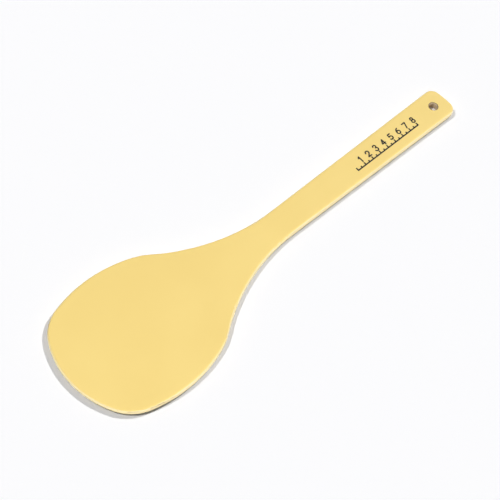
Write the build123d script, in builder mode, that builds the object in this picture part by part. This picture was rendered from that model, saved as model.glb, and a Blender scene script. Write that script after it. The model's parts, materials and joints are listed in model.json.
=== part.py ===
from build123d import *
import math
import os

# Rice paddle of the heat-resistant kind: a wooden core sealed between two sheets and a rim of plastic.
# The paddle lies on its back. Y runs from the blade's tip to the handle's end, X across, Z up out of
# the front face. The origin is on the lower face, in the middle of the length and the width.
# All lengths are millimetres.

# Overall form
overall_length = 450.0
blade_width = 125.0
thickness = 7.0
tip_thickness = 4.5
taper_length = 95.0
edge_radius = 2.0
# The rounded edge takes at most this share of the tip's thickness
edge_limit_share = 0.45

# Outline of the blade, from the tip round to the neck
tip_radius = 80.5
corner_radius = 38.0
side_radius = 128.0
widest_from_tip = 69.0
shoulder_from_tip = 113.5
shoulder_radius = 52.5
neck_radius = 189.5

# Outline of the handle
handle_root_width = 28.0
handle_root_from_tip = 235.0
handle_end_width = 32.0
handle_corner_radius = 8.8
handle_end_crown = 1.5

# Hanging hole
hole_diameter = 8.5
hole_from_end = 16.5
hole_edge_radius = 0.4

# Layers
skin_thickness = 1.8
rim_width = 7.0
core_from_tip = 30.0
core_from_end = 34.0
core_corner_radius = 26.0
core_end_radius = 4.0
core_clearance = 0.3
veneer_thickness = 0.9

# Printed centimetre scale on the handle, with its strokes
scale_from_tip = 326.0
scale_step = 10.0
scale_steps = 8
scale_across = 5.4
ink_thickness = 0.08
stroke_width = 1.3
long_tick = 3.0
short_tick = 2.0
digit_height = 5.8
digit_gap = 1.2

# One overrun serves every cut
overrun = 2.0

# Strokes of the digits, as shares of the digit height, x to the right and y up.
# Two points are a straight stroke, three points an arc.
digit_stroke_shares = {
    1: [((0.14, 0.78), (0.36, 1.0)), ((0.36, 1.0), (0.36, 0.0))],
    2: [((0.0, 0.72), (0.3, 1.0), (0.58, 0.72)), ((0.58, 0.72), (0.52, 0.53), (0.4, 0.38)),
        ((0.4, 0.38), (0.0, 0.0)), ((0.0, 0.0), (0.6, 0.0))],
    3: [((0.04, 0.86), (0.53, 0.77), (0.26, 0.53)), ((0.26, 0.53), (0.57, 0.27), (0.0, 0.16))],
    4: [((0.44, 0.0), (0.44, 1.0)), ((0.44, 1.0), (0.0, 0.3)), ((0.0, 0.3), (0.62, 0.3))],
    5: [((0.54, 1.0), (0.12, 1.0)), ((0.12, 1.0), (0.06, 0.55)), ((0.06, 0.55), (0.58, 0.32), (0.0, 0.14))],
    6: [((0.5, 1.0), (0.14, 0.72), (0.02, 0.32)), ((0.02, 0.32), (0.3, 0.0), (0.58, 0.32)),
        ((0.58, 0.32), (0.3, 0.6), (0.02, 0.32))],
    7: [((0.0, 1.0), (0.6, 1.0)), ((0.6, 1.0), (0.2, 0.0))],
    8: [((0.07, 0.77), (0.3, 1.0), (0.53, 0.77)), ((0.53, 0.77), (0.3, 0.54), (0.07, 0.77)),
        ((0.02, 0.27), (0.3, 0.54), (0.58, 0.27)), ((0.58, 0.27), (0.3, 0.0), (0.02, 0.27))],
}
digit_middle_share = 0.3

tip_y = -overall_length / 2
end_y = overall_length / 2
front_joint = thickness - skin_thickness
core_thickness = thickness - 2 * skin_thickness
os.makedirs("parts", exist_ok=True)


def circle_crossing(first, first_radius, second, second_radius):
    """The crossing of two circles that lies further along X."""
    apart = (second - first).length
    along = (first_radius**2 - second_radius**2 + apart**2) / (2 * apart)
    aside = math.sqrt(first_radius**2 - along**2)
    direction = (second - first).normalized()
    right = Vector(direction.Y, -direction.X)
    crossings = [first + direction * along + right * step for step in (aside, -aside)]
    return max(crossings, key=lambda point: point.X)


def centre_beside_handle(offset, circle_centre, distance):
    """The point that far outside the handle's edge and that far from a centre, nearer the end."""
    start = handle_root + handle_normal * offset - circle_centre
    along = start.dot(handle_direction)
    reach = math.sqrt(along**2 - start.length**2 + distance**2)
    return circle_centre + start + handle_direction * (reach - along)


def facing(from_point, to_point):
    """Degrees from the tip's direction, turning towards the right-hand edge."""
    step = to_point - from_point
    return math.degrees(math.atan2(step.X, -step.Y))


# The handle's right-hand edge
handle_root = Vector(handle_root_width / 2, tip_y + handle_root_from_tip)
handle_direction = (Vector(handle_end_width / 2, end_y) - handle_root).normalized()
handle_normal = Vector(handle_direction.Y, -handle_direction.X)
handle_facing = facing(Vector(0, 0), handle_normal)

# Centres of the arcs of the right-hand edge, each touching the next
side_centre = Vector(blade_width / 2 - side_radius, tip_y + widest_from_tip)
side_fall = math.asin((shoulder_from_tip - widest_from_tip) / side_radius)
shoulder_reach = side_radius - shoulder_radius
shoulder_centre = side_centre + Vector(math.cos(side_fall), math.sin(side_fall)) * shoulder_reach
shoulder_facing = 90 + math.degrees(side_fall)
neck_centre = centre_beside_handle(neck_radius, shoulder_centre, neck_radius + shoulder_radius)
neck_facing = facing(shoulder_centre, neck_centre)

# The handle's end, a shallow crown between two round corners
end_radius = ((handle_end_width / 2) ** 2 + handle_end_crown**2) / (2 * handle_end_crown)
end_centre = Vector(0, end_y - end_radius)
handle_corner_reach = end_radius - handle_corner_radius
handle_corner_centre = centre_beside_handle(-handle_corner_radius, end_centre, handle_corner_reach)
end_facing = facing(end_centre, handle_corner_centre)
handle_run = (handle_corner_centre - neck_centre).dot(handle_direction)

# Thinning of both faces towards the tip, which runs on past it
tip_step = (thickness - tip_thickness) / 2
taper_radius = (taper_length**2 + tip_step**2) / (2 * tip_step)
taper_turn = math.degrees(math.asin((taper_length + overrun) / taper_radius))
taper_y = tip_y + taper_length
rounding = min(edge_radius, edge_limit_share * tip_thickness)


def draw_edge_to_handle(start_y, first_radius, second_radius, inset):
    """Right-hand edge from the tip to the start of the handle's straight, the sides moved inwards."""
    first_centre = Vector(0, start_y + first_radius)
    side_reach = side_radius - inset - second_radius
    second_centre = circle_crossing(first_centre, first_radius - second_radius, side_centre, side_reach)
    first_facing = facing(first_centre, second_centre)
    second_facing = facing(side_centre, second_centre)
    tip = JernArc((0, start_y), (1, 0), first_radius, first_facing)
    corner = JernArc(tip @ 1, tip % 1, second_radius, second_facing - first_facing)
    side = JernArc(corner @ 1, corner % 1, side_radius - inset, shoulder_facing - second_facing)
    shoulder = JernArc(side @ 1, side % 1, shoulder_radius - inset, neck_facing - shoulder_facing)
    return JernArc(shoulder @ 1, shoulder % 1, neck_radius + inset, handle_facing - neck_facing)


def core_outline(height, clearance):
    """The pocket for the wooden core at a height, or the core itself, smaller by its clearance."""
    start_y = tip_y + core_from_tip + clearance
    stop_y = end_y - core_from_end - clearance
    corner = core_corner_radius - clearance
    with BuildSketch(Plane.XY.offset(height)) as outline:
        with BuildLine():
            neck = draw_edge_to_handle(start_y, tip_radius - clearance, corner, rim_width + clearance)
            run = (stop_y - (neck @ 1).Y) / handle_direction.Y
            straight = Line(neck @ 1, neck @ 1 + handle_direction * run)
            Line(straight @ 1, (0, stop_y))
            mirror(about=Plane.YZ)
        make_face()
        fillet(outline.vertices().group_by(Axis.Y)[-1], core_end_radius)
    return outline.sketch


def lay_core_ply(name, height, ply_thickness):
    """One ply of the wooden core, lying at a height."""
    with BuildPart() as ply:
        extrude(core_outline(height, core_clearance), amount=ply_thickness)
    ply.part.label = name
    export_step(ply.part, f"parts/{name}.step")


# The whole outer form, which the sealing layers are cut from
with BuildPart() as blank:
    with BuildSketch():
        with BuildLine():
            neck = draw_edge_to_handle(tip_y, tip_radius, corner_radius, 0)
            straight = Line(neck @ 1, neck @ 1 + handle_direction * handle_run)
            end_turn = end_facing - handle_facing
            end_corner = JernArc(straight @ 1, straight % 1, handle_corner_radius, end_turn)
            JernArc(end_corner @ 1, end_corner % 1, end_radius, 180 - end_facing)
            mirror(about=Plane.YZ)
        make_face()
    extrude(amount=thickness)
    with BuildSketch(Plane.YZ):
        with BuildLine():
            lower = Line((end_y + overrun, 0), (taper_y, 0))
            lower_taper = JernArc(lower @ 1, (-1, 0), taper_radius, -taper_turn)
            upper = Line((end_y + overrun, thickness), (taper_y, thickness))
            upper_taper = JernArc(upper @ 1, (-1, 0), taper_radius, taper_turn)
            Line(lower_taper @ 1, upper_taper @ 1)
            Line(lower @ 0, upper @ 0)
        make_face()
    extrude(amount=blade_width / 2 + overrun, both=True, mode=Mode.INTERSECT)
    around = blank.edges().filter_by(Axis.Z, reverse=True)
    fillet(around.filter_by(Axis.X, reverse=True), rounding)
    with Locations((0, end_y - hole_from_end, thickness / 2)):
        Hole(hole_diameter / 2, depth=thickness)
    fillet(blank.edges().filter_by(lambda edge: edge.is_closed), hole_edge_radius)

# The two outer sheets and the rim between them
with BuildPart() as back_skin:
    add(blank.part)
    split(bisect_by=Plane.XY.offset(skin_thickness), keep=Keep.BOTTOM)
back_skin.part.label = "back_skin"
export_step(back_skin.part, "parts/back_skin.step")

with BuildPart() as front_skin:
    add(blank.part)
    split(bisect_by=Plane.XY.offset(front_joint), keep=Keep.TOP)
front_skin.part.label = "front_skin"
export_step(front_skin.part, "parts/front_skin.step")

with BuildPart() as edge_frame:
    add(blank.part)
    split(bisect_by=Plane.XY.offset(skin_thickness), keep=Keep.TOP)
    split(bisect_by=Plane.XY.offset(front_joint), keep=Keep.BOTTOM)
    extrude(core_outline(skin_thickness, 0), amount=core_thickness, mode=Mode.SUBTRACT)
edge_frame.part.label = "edge_frame"
export_step(edge_frame.part, "parts/edge_frame.step")

# The core: two long-grained veneers with a cross-grained ply between them
middle_ply_thickness = core_thickness - 2 * veneer_thickness
lay_core_ply("core_back_veneer", skin_thickness, veneer_thickness)
lay_core_ply("core_middle_ply", skin_thickness + veneer_thickness, middle_ply_thickness)
lay_core_ply("core_front_veneer", front_joint - veneer_thickness, veneer_thickness)


def digit_outline(stroke_shares):
    """A digit made of round-ended strokes, standing on its own baseline."""
    with BuildSketch() as digit:
        for shares in stroke_shares:
            points = [(x * digit_height, y * digit_height) for x, y in shares]
            stroke_form = Line if len(points) == 2 else ThreePointArc
            SlotArc(stroke_form(*points, mode=Mode.PRIVATE), stroke_width)
    return digit.sketch


# The printed scale reads from the blade towards the handle's end
digits = {number: digit_outline(shares) for number, shares in digit_stroke_shares.items()}
scale_origin = (scale_across, tip_y + scale_from_tip, thickness)
scale_plane = Plane(scale_origin, x_dir=(0, 1, 0), z_dir=(0, 0, 1))
with BuildPart() as handle_print:
    with BuildSketch(scale_plane):
        with Locations((scale_steps * scale_step / 2, 0)):
            Rectangle(scale_steps * scale_step + stroke_width, stroke_width)
        for half_step in range(2 * scale_steps + 1):
            tick = short_tick if half_step % 2 else long_tick
            with Locations((half_step * scale_step / 2, 0)):
                Rectangle(stroke_width, tick, align=(Align.CENTER, Align.MIN))
        for number in range(1, min(scale_steps, len(digits)) + 1):
            left = number * scale_step - digit_middle_share * digit_height
            with Locations((left, long_tick + digit_gap)):
                add(digits[number])
    extrude(amount=ink_thickness)
handle_print.part.label = "handle_print"
export_step(handle_print.part, "parts/handle_print.step")
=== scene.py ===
import bpy
import json
import math
from mathutils import Matrix, Vector

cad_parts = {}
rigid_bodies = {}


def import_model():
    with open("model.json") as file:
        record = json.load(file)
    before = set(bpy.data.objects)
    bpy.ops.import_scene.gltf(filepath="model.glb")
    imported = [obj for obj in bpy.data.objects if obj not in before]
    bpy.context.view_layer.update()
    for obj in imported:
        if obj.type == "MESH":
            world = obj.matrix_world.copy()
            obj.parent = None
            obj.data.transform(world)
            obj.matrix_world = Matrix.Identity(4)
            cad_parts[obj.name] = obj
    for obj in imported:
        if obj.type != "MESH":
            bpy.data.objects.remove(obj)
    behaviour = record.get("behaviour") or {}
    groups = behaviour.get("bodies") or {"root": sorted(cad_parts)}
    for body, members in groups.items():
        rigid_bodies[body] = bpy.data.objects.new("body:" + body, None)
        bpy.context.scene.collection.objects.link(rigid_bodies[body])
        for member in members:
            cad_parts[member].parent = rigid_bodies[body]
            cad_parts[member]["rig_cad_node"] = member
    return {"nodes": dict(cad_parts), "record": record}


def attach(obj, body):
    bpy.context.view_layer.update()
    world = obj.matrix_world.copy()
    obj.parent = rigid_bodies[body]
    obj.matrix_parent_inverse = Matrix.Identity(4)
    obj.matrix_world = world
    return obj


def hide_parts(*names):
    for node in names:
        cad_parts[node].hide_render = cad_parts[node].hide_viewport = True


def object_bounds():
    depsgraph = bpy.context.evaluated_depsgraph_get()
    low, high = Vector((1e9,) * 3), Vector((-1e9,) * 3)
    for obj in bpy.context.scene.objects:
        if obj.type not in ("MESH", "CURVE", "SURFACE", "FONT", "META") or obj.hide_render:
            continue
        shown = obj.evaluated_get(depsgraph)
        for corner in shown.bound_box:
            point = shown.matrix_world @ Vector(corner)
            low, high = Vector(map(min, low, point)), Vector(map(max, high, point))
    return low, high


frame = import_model()
nodes = frame["nodes"]
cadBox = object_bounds()  # the CAD model's own box, kept before anything is added
hangingHole = next(mount for mount in frame["record"]["mounts"] if mount["name"] == "hanging_hole")
holePlace = Vector(hangingHole["pos_m"])
holeRadius = hangingHole["dims"]["r_mm"] / 1000
print("paddle loaded:", ", ".join(sorted(nodes)))


# Small helpers for node trees

def addNode(tree, kind, place, values=None, **settings):
    node = tree.nodes.new(kind)
    node.location = place
    for name, value in settings.items():
        setattr(node, name, value)
    for name, value in (values or {}).items():
        node.inputs[name].default_value = value
    return node


def feed(tree, socket, value):
    # another node's output is linked, and a plain number or colour is set
    if isinstance(value, bpy.types.NodeSocket):
        tree.links.new(value, socket)
    else:
        socket.default_value = (*value, 1) if socket.type == "RGBA" else value


def addMath(tree, operation, place, first, second=None, clamp=False):
    node = addNode(tree, "ShaderNodeMath", place, operation=operation, use_clamp=clamp)
    feed(tree, node.inputs[0], first)
    if second is not None:
        feed(tree, node.inputs[1], second)
    return node.outputs[0]


def addRange(tree, place, value, fromLow, fromHigh, toLow=0.0, toHigh=1.0):
    ramp = addNode(tree, "ShaderNodeMapRange", place, {
        "From Min": fromLow, "From Max": fromHigh, "To Min": toLow, "To Max": toHigh})
    ramp.interpolation_type = "SMOOTHSTEP"
    tree.links.new(value, ramp.inputs["Value"])
    return ramp.outputs["Result"]


def addMix(tree, place, factor, first, second):
    mix = addNode(tree, "ShaderNodeMix", place, data_type="RGBA")
    tree.links.new(factor, mix.inputs["Factor"])
    for name, value in (("A", first), ("B", second)):
        feed(tree, next(s for s in mix.inputs if s.name == name and s.type == "RGBA"), value)
    return next(s for s in mix.outputs if s.type == "RGBA")


def addMapping(tree, place, vector, values):
    mapping = addNode(tree, "ShaderNodeMapping", place, values)
    tree.links.new(vector, mapping.inputs["Vector"])
    return mapping.outputs[0]


def addNoise(tree, place, vector, scale, values):
    noise = addNode(tree, "ShaderNodeTexNoise", place, values)
    feed(tree, noise.inputs["Scale"], scale)
    tree.links.new(vector, noise.inputs["Vector"])
    return noise.outputs["Fac"]


def addBump(tree, shader, height, strength, depth):
    bump = addNode(tree, "ShaderNodeBump", (300, -300), {"Strength": strength, "Distance": depth})
    tree.links.new(height, bump.inputs["Height"])
    tree.links.new(bump.outputs["Normal"], shader.inputs["Normal"])


def newGroup(name, vectors, sizes, outputs):
    group = bpy.data.node_groups.new(name, "ShaderNodeTree")
    for socketName in vectors:
        group.interface.new_socket(socketName, in_out="INPUT", socket_type="NodeSocketVector")
    for socketName in sizes:
        group.interface.new_socket(socketName, in_out="INPUT", socket_type="NodeSocketFloat")
    for socketName in outputs:
        group.interface.new_socket(socketName, in_out="OUTPUT", socket_type="NodeSocketFloat")
    entry = addNode(group, "NodeGroupInput", (-1000, 0))
    leave = addNode(group, "NodeGroupOutput", (900, 0))
    return group, entry, leave


def placeGroup(tree, group, place, vector, values):
    node = addNode(tree, "ShaderNodeGroup", place, values, node_tree=group)
    tree.links.new(vector, node.inputs["Vector"])
    return node


# Effects that more than one material uses

mouldGroupValues = {
    "driftRange": (0.3, 0.7),
    "driftNoise": {"Detail": 3.0, "Roughness": 0.45},
    "grainRange": (0.25, 0.75),
    "grainNoise": {"Detail": 2.0, "Roughness": 0.6},
    "glossRange": (0.3, 0.7),
    "glossNoise": {"Detail": 4.0, "Roughness": 0.6},
    "glossPerDrift": 3.0,
}


def makeMouldGroup(values):
    # slow colour drift of poured plastic, and the fine satin grain left by the mould
    group, entry, leave = newGroup(
        "mouldedSurface", ["Vector"], ["Drift Size", "Grain Size"], ["Drift", "Grain", "Gloss"])
    driftScale = addMath(group, "DIVIDE", (-780, 200), 1.0, entry.outputs["Drift Size"])
    grainScale = addMath(group, "DIVIDE", (-780, -100), 1.0, entry.outputs["Grain Size"])
    glossScale = addMath(group, "MULTIPLY", (-780, -400), driftScale, values["glossPerDrift"])
    layers = (("drift", driftScale, 200), ("grain", grainScale, -100), ("gloss", glossScale, -400))
    for layer, scale, y in layers:
        noise = addNoise(group, (-560, y), entry.outputs["Vector"], scale, values[layer + "Noise"])
        mask = addRange(group, (-300, y), noise, *values[layer + "Range"])
        group.links.new(mask, leave.inputs[layer.capitalize()])
    return group


# lift is 1 on the flat faces and 0 on the upright side wall
edgeGroupValues = {
    "sideLift": (0.99, 0.5),
    "edgeLiftOpen": (0.99, 0.8),
    "edgeLiftClose": (0.1, 0.45),
    "wornRange": (0.42, 0.66),
    "wornNoise": {"Detail": 5.0, "Roughness": 0.65},
}


def makeEdgeGroup(values):
    # where the form turns away from the flat faces, which the plastic pales as a painted highlight, and
    # the rounded edge's wear, broken up by rubbing
    group, entry, leave = newGroup(
        "rimHighlightAndWear", ["Vector", "Normal"], ["Patch Size"], ["Side", "Edge", "Wear"])
    split = addNode(group, "ShaderNodeSeparateXYZ", (-780, 200))
    group.links.new(entry.outputs["Normal"], split.inputs[0])
    lift = addMath(group, "ABSOLUTE", (-600, 200), split.outputs["Z"])
    opening = addRange(group, (-420, 300), lift, *values["edgeLiftOpen"])
    closing = addRange(group, (-420, 60), lift, *values["edgeLiftClose"])
    edge = addMath(group, "MULTIPLY", (-200, 200), opening, closing)
    patchScale = addMath(group, "DIVIDE", (-780, -200), 1.0, entry.outputs["Patch Size"])
    patches = addNoise(group, (-560, -200), entry.outputs["Vector"], patchScale, values["wornNoise"])
    worn = addRange(group, (-300, -200), patches, *values["wornRange"])
    group.links.new(addRange(group, (-200, 420), lift, *values["sideLift"]), leave.inputs["Side"])
    group.links.new(edge, leave.inputs["Edge"])
    group.links.new(addMath(group, "MULTIPLY", (0, 0), edge, worn), leave.inputs["Wear"])
    return group


woodGroupValues = {
    "bendScale": (5.0, 22.0, 22.0),
    "bendNoise": {"Detail": 3.0},
    "ringRange": (0.1, 0.95),
    "poreStretch": (1.0, 18.0, 18.0),
    "poreNoise": {"Detail": 2.0, "Roughness": 0.5},
    "poreRange": (0.6, 0.72),
    "fibreScale": (30.0, 2600.0, 2600.0),
    "fibreNoise": {"Detail": 3.0},
}


def makeWoodGroup(values):
    # growth rings sliced flat, fine pores and fibres, all running along X of the vector that comes in
    group, entry, leave = newGroup(
        "woodFigure", ["Vector"], ["Ring Width", "Waviness", "Pore Length"], ["Rings", "Pores", "Fibres"])
    grown = entry.outputs["Vector"]
    slow = addMapping(group, (-800, 300), grown, {"Scale": values["bendScale"]})
    bend = addNoise(group, (-600, 300), slow, 1.0, values["bendNoise"])
    split = addNode(group, "ShaderNodeSeparateXYZ", (-800, 0))
    group.links.new(grown, split.inputs[0])
    sway = addMath(group, "MULTIPLY", (-400, 300), bend, entry.outputs["Waviness"])
    across = addMath(group, "ADD", (-220, 200), split.outputs["Y"], sway)
    turns = addMath(group, "DIVIDE", (-60, 200), across, entry.outputs["Ring Width"])
    saw = addMath(group, "FRACT", (100, 200), turns)
    group.links.new(addRange(group, (260, 200), saw, *values["ringRange"]), leave.inputs["Rings"])

    poreScale = addMath(group, "DIVIDE", (-800, -200), 1.0, entry.outputs["Pore Length"])
    thin = addMapping(group, (-600, -200), grown, {"Scale": values["poreStretch"]})
    pores = addNoise(group, (-400, -200), thin, poreScale, values["poreNoise"])
    group.links.new(addRange(group, (-100, -200), pores, *values["poreRange"]), leave.inputs["Pores"])

    combed = addMapping(group, (-600, -480), grown, {"Scale": values["fibreScale"]})
    fibres = addNoise(group, (-400, -480), combed, 1.0, values["fibreNoise"])
    group.links.new(fibres, leave.inputs["Fibres"])
    return group


mouldedSurface = makeMouldGroup(mouldGroupValues)
rimHighlightAndWear = makeEdgeGroup(edgeGroupValues)
woodFigure = makeWoodGroup(woodGroupValues)
print("shared effects made")


# Materials

def startMaterial(name):
    material = bpy.data.materials.new(name)
    material.use_nodes = True
    tree = material.node_tree
    shader = tree.nodes["Principled BSDF"]
    shader.location = (700, 0)
    tree.nodes["Material Output"].location = (1000, 0)
    coords = addNode(tree, "ShaderNodeTexCoord", (-900, 0))
    return material, tree, shader, coords


# holeFade and rimSteps are steps out from the hole's radius, in metres
plasticValues = {
    "light": (0.872, 0.652, 0.208),
    "deep": (0.854, 0.632, 0.196),
    # pale tone laid on the whole side wall as a painted highlight, and on worn rounded edges as real wear
    "rimPaling": (0.915, 0.780, 0.465),
    # a duller tone painted on the hole's wall, standing in for its shade
    "holeWallShade": (0.90, 0.73, 0.50),
    "driftSize": 0.06,
    "grainSize": 0.00045,
    "grainStrength": 1.0,
    "grainDepth": 0.00001,
    "faceRoughness": (0.56, 0.62),
    "edgeRoughness": 0.34,
    # how strongly the side wall is paled as a painted highlight
    "sideHighlightAmount": 0.8,
    "wearAmount": 0.2,
    "patchSize": 0.03,
    "holeFade": (0.00005, 0.0003),
    # a near-black ring painted on the hole's rounded rim, standing in for the shade there
    "holeRimShade": (0.042, 0.018, 0.006),
    "holeRimShadeAmount": 0.94,
    "rimSteps": ((-0.00002, 0.00003), (0.00042, 0.0006)),
}


def makePlastic(name, values):
    material, tree, shader, coords = startMaterial(name)
    place = coords.outputs["Object"]
    mould = placeGroup(tree, mouldedSurface, (-600, 200), place, {
        "Drift Size": values["driftSize"], "Grain Size": values["grainSize"]})
    wear = placeGroup(tree, rimHighlightAndWear, (-600, -200), place, {"Patch Size": values["patchSize"]})
    tree.links.new(coords.outputs["Normal"], wear.inputs["Normal"])
    body = addMix(tree, (-200, 300), mould.outputs["Drift"], values["deep"], values["light"])
    # painted highlight: the side wall and its rounding are paled all round, and the worn edge adds real
    # wear on top
    paintedHighlight = addMath(tree, "MULTIPLY", (-400, 40), wear.outputs["Side"], values["sideHighlightAmount"])
    rimPaling = addMath(tree, "MULTIPLY", (-400, -60), wear.outputs["Wear"], values["wearAmount"])
    highlightAndWear = addMath(tree, "ADD", (-200, 0), paintedHighlight, rimPaling, clamp=True)
    # worn carries the painted highlight and the real edge wear together
    worn = addMix(tree, (0, 300), highlightAndWear, body, values["rimPaling"])

    # the hole's wall is painted a duller, beige-brown tone, standing in for the shade inside the hole
    flat = addMapping(tree, (-600, 560), place, {
        "Location": (-holePlace.x, -holePlace.y, 0.0), "Scale": (1.0, 1.0, 0.0)})
    length = addNode(tree, "ShaderNodeVectorMath", (-400, 560), operation="LENGTH")
    tree.links.new(flat, length.inputs[0])
    reach = length.outputs["Value"]
    near, far = (holeRadius + step for step in values["holeFade"])
    holeWallShade = addRange(tree, (-200, 560), reach, far, near)
    holeShadedWall = addMix(tree, (200, 400), holeWallShade, worn, values["holeWallShade"])
    # painted shade: a near-black ring on the hole's rounded rim
    inner, outer = (tuple(holeRadius + step for step in steps) for steps in values["rimSteps"])
    ringIn = addRange(tree, (-200, 760), reach, *inner)
    ringOut = addRange(tree, (-200, 920), reach, *reversed(outer))
    ring = addMath(tree, "MULTIPLY", (0, 760), ringIn, ringOut)
    holeRimShadeMask = addMath(tree, "MULTIPLY", (200, 760), ring, values["holeRimShadeAmount"])
    tree.links.new(addMix(tree, (450, 400), holeRimShadeMask, holeShadedWall, values["holeRimShade"]), shader.inputs["Base Color"])

    faces = addRange(tree, (-200, -200), mould.outputs["Gloss"], 0.0, 1.0, *values["faceRoughness"])
    drop = addMath(tree, "SUBTRACT", (-100, -400), faces, values["edgeRoughness"])
    shine = addMath(tree, "MULTIPLY", (50, -400), drop, wear.outputs["Edge"])
    tree.links.new(addMath(tree, "SUBTRACT", (200, -200), faces, shine), shader.inputs["Roughness"])
    addBump(tree, shader, mould.outputs["Grain"], values["grainStrength"], values["grainDepth"])
    return material


woodValues = {
    "fibreRange": (0.3, 0.7),
    "roughness": (0.55, 0.72),
    "fibreStrength": 0.6,
    "fibreDepth": 0.00008,
    "veneer": {
        "early": (0.62, 0.42, 0.235), "late": (0.47, 0.285, 0.14), "pore": (0.24, 0.13, 0.06),
        "turn": 90.0, "ringWidth": 0.0045, "waviness": 0.02, "poreLength": 0.004,
    },
    "middle": {
        "early": (0.66, 0.47, 0.28), "late": (0.54, 0.345, 0.18), "pore": (0.30, 0.17, 0.08),
        "turn": 0.0, "ringWidth": 0.0032, "waviness": 0.012, "poreLength": 0.003,
    },
}


def makeWood(name, values, layer):
    material, tree, shader, coords = startMaterial(name)
    turned = addMapping(tree, (-800, 200), coords.outputs["Object"], {
        "Rotation": (0.0, 0.0, math.radians(layer["turn"]))})
    figure = placeGroup(tree, woodFigure, (-560, 200), turned, {
        "Ring Width": layer["ringWidth"], "Waviness": layer["waviness"],
        "Pore Length": layer["poreLength"]})
    body = addMix(tree, (-200, 300), figure.outputs["Rings"], layer["early"], layer["late"])
    pored = addMix(tree, (100, 300), figure.outputs["Pores"], body, layer["pore"])
    tree.links.new(pored, shader.inputs["Base Color"])
    fibres = figure.outputs["Fibres"]
    rough = addRange(tree, (-200, -100), fibres, *values["fibreRange"], *values["roughness"])
    tree.links.new(rough, shader.inputs["Roughness"])
    addBump(tree, shader, fibres, values["fibreStrength"], values["fibreDepth"])
    return material


inkValues = {
    "dense": (0.006, 0.005, 0.005),
    "thin": (0.020, 0.015, 0.012),
    "patchSize": 0.0025,
    "grainSize": 0.0002,
    "grainStrength": 1.0,
    "grainDepth": 0.000006,
    "roughness": (0.38, 0.52),
    "specular": 0.2,
}


def makeInk(name, values):
    material, tree, shader, coords = startMaterial(name)
    film = placeGroup(tree, mouldedSurface, (-600, 200), coords.outputs["Object"], {
        "Drift Size": values["patchSize"], "Grain Size": values["grainSize"]})
    body = addMix(tree, (-200, 300), film.outputs["Drift"], values["dense"], values["thin"])
    tree.links.new(body, shader.inputs["Base Color"])
    shader.inputs["Specular IOR Level"].default_value = values["specular"]
    rough = addRange(tree, (-200, 0), film.outputs["Gloss"], 0.0, 1.0, *values["roughness"])
    tree.links.new(rough, shader.inputs["Roughness"])
    addBump(tree, shader, film.outputs["Grain"], values["grainStrength"], values["grainDepth"])
    return material


def dress(piece, material):
    piece.data.materials.clear()
    piece.data.materials.append(material)


plastic = makePlastic("yellowPlastic", plasticValues)
veneerWood = makeWood("veneerWood", woodValues, woodValues["veneer"])
crossWood = makeWood("crossWood", woodValues, woodValues["middle"])
printInk = makeInk("printInk", inkValues)
for nodeName in ("core_front_veneer", "core_back_veneer"):
    dress(nodes[nodeName], veneerWood)
dress(nodes["core_middle_ply"], crossWood)
dress(nodes["handle_print"], printInk)
print("materials given to the core and the print")


# The plastic pieces, with their rounded edges shaded smooth

smoothValues = {
    "mergeWithin": 0.000001,
    "smoothBelow": 30.0,
    "pieces": {
        "front_skin": ("frontSkin", "skin_plastic"),
        "back_skin": ("backSkin", "skin_plastic"),
        "edge_frame": ("edgeFrame", "rim_plastic"),
    },
}


def makeSmooth(nodeName, pieceName, slotName, values):
    piece = nodes[nodeName].copy()
    piece.data = nodes[nodeName].data.copy()
    piece.name = pieceName
    if "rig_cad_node" in piece:
        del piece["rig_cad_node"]
    bpy.context.scene.collection.objects.link(piece)
    bpy.ops.object.select_all(action="DESELECT")
    piece.select_set(True)
    bpy.context.view_layer.objects.active = piece
    bpy.ops.object.mode_set(mode="EDIT")
    bpy.ops.mesh.select_all(action="SELECT")
    bpy.ops.mesh.remove_doubles(threshold=values["mergeWithin"])
    bpy.ops.object.mode_set(mode="OBJECT")
    bpy.ops.object.shade_smooth_by_angle(angle=math.radians(values["smoothBelow"]))
    # large faces count most, so that the flat faces stay flat up to the rounding
    weights = piece.modifiers.new("faceWeights", "WEIGHTED_NORMAL")
    weights.keep_sharp = True
    bpy.ops.object.modifier_apply(modifier=weights.name)
    dress(piece, plastic)
    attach(piece, "root")
    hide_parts(nodeName)
    return piece


smoothPieces = [makeSmooth(nodeName, *names, smoothValues)
                for nodeName, names in smoothValues["pieces"].items()]
print("plastic pieces shaded smooth:", ", ".join(piece.name for piece in smoothPieces))


# Floor, light and camera

def addSeenMask(tree, x, y):
    # 1 where the camera sees the surface, directly or in gloss and glass
    path = addNode(tree, "ShaderNodeLightPath", (x, y))
    direct = addMath(tree, "MAXIMUM", (x + 250, y),
                     path.outputs["Is Camera Ray"], path.outputs["Is Glossy Ray"])
    return addMath(tree, "MAXIMUM", (x + 450, y), direct, path.outputs["Is Transmission Ray"])


floorValues = {
    "size": 8.0,
    "gap": 0.0001,
    "colour": (0.55, 0.55, 0.55),
    "seenColour": (1.14, 1.13, 1.13),
}


def makeFloor(values):
    level = cadBox[0].z - values["gap"]
    bpy.ops.object.select_all(action="DESELECT")
    bpy.ops.mesh.primitive_plane_add(size=values["size"], location=(0, 0, level))
    floor = bpy.context.object
    floor.name = "floor"
    material = bpy.data.materials.new("floorPaper")
    material.use_nodes = True
    tree = material.node_tree
    tree.nodes.remove(tree.nodes["Principled BSDF"])
    paper = addNode(tree, "ShaderNodeBsdfDiffuse", (-100, 100))
    seen = addMix(tree, (-300, 100), addSeenMask(tree, -1000, 100), values["colour"], values["seenColour"])
    tree.links.new(seen, paper.inputs["Color"])
    tree.links.new(paper.outputs[0], tree.nodes["Material Output"].inputs["Surface"])
    floor.data.materials.append(material)


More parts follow.
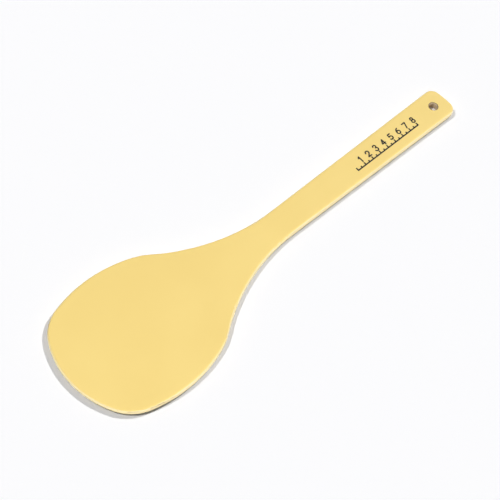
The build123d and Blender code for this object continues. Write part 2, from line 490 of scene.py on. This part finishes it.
# each shadow leads, in metres, from an edge down to the shadow that it throws
lightValues = {
    "worldStrength": 0.13,
    "worldColour": (0.94, 1.0, 1.10),
    "seenStrength": 1.0,
    "seenColour": (1.0, 1.0, 1.0),
    "sunAngle": 3.0,
    "keyStrength": 1.69,
    "keyShadow": (-0.0003, -0.0055, -0.0055),
    "sideStrength": 1.29,
    "sideShadow": (0.0025, 0.0027, -0.006),
    "fillPower": 27.0,
    "fillBounces": 0,
    "fillSize": 0.8,
    "fillAzimuths": (25.0, 95.0),
    "fillElevation": 11.0,
    "panelPower": 10.0,
    "panelSize": 1.3,
    "panelAzimuths": (-14.0, 54.0, 122.0),
    "panelElevation": 27.0,
    "distance": 2.4,
}


def directionFrom(azimuth, elevation):
    a, e = math.radians(azimuth), math.radians(elevation)
    return Vector((math.sin(a) * math.cos(e), -math.cos(a) * math.cos(e), math.sin(e)))


def placeSun(name, shadow, strength, angle):
    # a sun that throws the shadow of an edge down along this vector
    light = bpy.data.lights.new(name, "SUN")
    light.energy = strength
    light.angle = math.radians(angle)
    sun = bpy.data.objects.new(name, light)
    sun.rotation_euler = Vector(shadow).to_track_quat("-Z", "Y").to_euler()
    bpy.context.scene.collection.objects.link(sun)


def placeSoftbox(name, azimuth, elevation, distance, power, size):
    back = directionFrom(azimuth, elevation)
    light = bpy.data.lights.new(name, "AREA")
    light.energy = power
    light.size = size
    softbox = bpy.data.objects.new(name, light)
    softbox.location = back * distance
    softbox.rotation_euler = (-back).to_track_quat("-Z", "Y").to_euler()
    bpy.context.scene.collection.objects.link(softbox)
    return softbox


def makeLights(values):
    world = bpy.data.worlds.new("studio")
    bpy.context.scene.world = world
    world.use_nodes = True
    tree = world.node_tree
    room = tree.nodes["Background"]
    feed(tree, room.inputs["Color"], values["worldColour"])
    feed(tree, room.inputs["Strength"], values["worldStrength"])
    seen = addNode(tree, "ShaderNodeBackground", (0, -200))
    feed(tree, seen.inputs["Color"], values["seenColour"])
    feed(tree, seen.inputs["Strength"], values["seenStrength"])
    mix = addNode(tree, "ShaderNodeMixShader", (250, 100))
    tree.links.new(addSeenMask(tree, -700, 300), mix.inputs["Fac"])
    tree.links.new(room.outputs[0], mix.inputs[1])
    tree.links.new(seen.outputs[0], mix.inputs[2])
    tree.links.new(mix.outputs[0], tree.nodes["World Output"].inputs["Surface"])

    placeSun("keyLight", values["keyShadow"], values["keyStrength"], values["sunAngle"])
    placeSun("sideLight", values["sideShadow"], values["sideStrength"], values["sunAngle"])

    # the low fills only reach the paddle, so that they don't wash out the shadow on the floor
    lit = bpy.data.collections.new("filledPieces")
    for piece in (*smoothPieces, nodes["handle_print"]):
        lit.objects.link(piece)
    for azimuth in values["fillAzimuths"]:
        fill = placeSoftbox("fillLight", azimuth, values["fillElevation"], values["distance"],
                            values["fillPower"], values["fillSize"])
        fill.light_linking.receiver_collection = lit
        fill.visible_glossy = False
        fill.data.cycles.max_bounces = values["fillBounces"]
    # weak white panels on the near side, which only show in the gloss
    for azimuth in values["panelAzimuths"]:
        panel = placeSoftbox("edgePanel", azimuth, values["panelElevation"], values["distance"],
                             values["panelPower"], values["panelSize"])
        panel.visible_diffuse = False


cameraValues = {
    "lens": 100.0,
    "azimuth": 33.901,
    "elevation": 56.906,
    "roll": 13.968,
    "distance": 1.16446,
    "lookAt": (0.003117, -0.031781, 0.007),
}


def makeCamera(values):
    back = directionFrom(values["azimuth"], values["elevation"])
    a, roll = math.radians(values["azimuth"]), math.radians(values["roll"])
    level = Vector((math.cos(a), math.sin(a), 0))
    upright = back.cross(level)
    across = math.cos(roll) * level + math.sin(roll) * upright
    up = math.cos(roll) * upright - math.sin(roll) * level
    camera = bpy.data.cameras.new("camera")
    camera.lens = values["lens"]
    cameraObject = bpy.data.objects.new("camera", camera)
    place = Vector(values["lookAt"]) + back * values["distance"]
    turn = Matrix((across, up, back)).transposed()
    cameraObject.matrix_world = Matrix.Translation(place) @ turn.to_4x4()
    bpy.context.scene.collection.objects.link(cameraObject)
    bpy.context.scene.camera = cameraObject


makeFloor(floorValues)
makeLights(lightValues)
makeCamera(cameraValues)
bpy.context.scene.view_settings.view_transform = "Standard"
print("floor, lights and camera placed")
